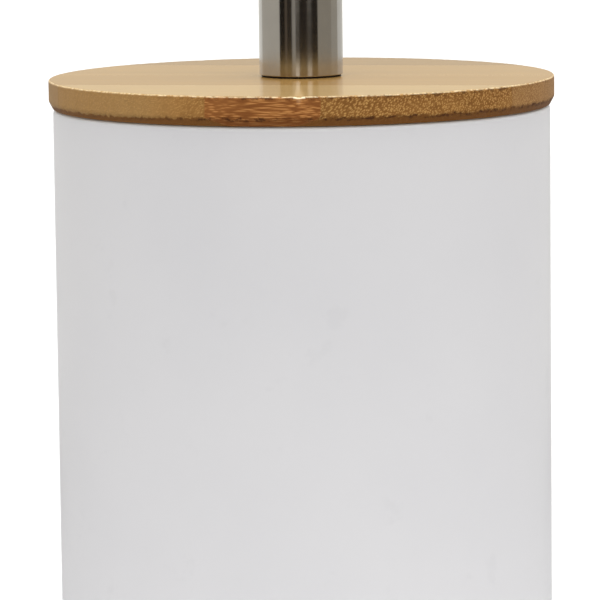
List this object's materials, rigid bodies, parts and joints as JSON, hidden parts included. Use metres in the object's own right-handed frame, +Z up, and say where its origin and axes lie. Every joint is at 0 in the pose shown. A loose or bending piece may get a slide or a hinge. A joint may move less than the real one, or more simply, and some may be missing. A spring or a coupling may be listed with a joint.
{
  "type": "toilet brush holder",
  "caption": "Free-standing toilet brush holder: white steel cup with a lift-out liner, a round bamboo lid, and a brush on a long polished steel tube handle",
  "frame": {"origin": "on the floor, at the centre of the cup's foot", "axes": "+Z up along the handle; -Y is the side that faces the viewer, where the lid's narrow strip lies"},
  "size_m": [0.0966, 0.0966, 0.375],
  "materials": {
    "white_coat": "smooth satin powder coat",
    "bare_steel": "plain bright steel",
    "foot_rubber": "matt foamed rubber",
    "liner_plastic": "moulded, finely matt",
    "bamboo": "satin varnish over turned bamboo",
    "bamboo_ply": "sanded, bare",
    "polished_steel": "polished, with a faint lengthwise haze",
    "black_rubber": "matt",
    "head_plastic": "moulded, semi-gloss",
    "bristle": "straight nylon filament"
  },
  "bodies": {
    "holder": {"cup_sleeve": "white_coat", "base_plate": "bare_steel", "foot_ring": "foot_rubber"},
    "liner": {"liner_cup": "liner_plastic"},
    "lid": {"lid_strip_1": "bamboo", "lid_strip_2": "bamboo", "lid_strip_3": "bamboo", "lid_strip_4": "bamboo", "lid_strip_5": "bamboo", "locating_disc": "bamboo_ply"},
    "brush": {"handle_tube": "polished_steel", "handle_cap": "polished_steel", "handle_plug": "bare_steel", "handle_gasket": "black_rubber", "stem_rod": "bare_steel", "stop_washer": "bare_steel", "stop_nut": "bare_steel", "brush_core": "head_plastic", "side_bristles": "bristle", "end_bristles": "bristle"}
  },
  "joints": [
    {"name": "liner_lift", "type": "slide", "parent": "holder", "child": "liner", "axis": [0, 0, 1], "range_m": [0, 0.125]},
    {"name": "brush_lift", "type": "slide", "parent": "liner", "child": "lid", "axis": [0, 0, 1], "range_m": [0, 0.13]},
    {"name": "brush_spin", "type": "hinge", "parent": "lid", "child": "brush", "pos_m": [0, 0, 0.12], "axis": [0, 0, 1], "continuous": true}
  ]
}
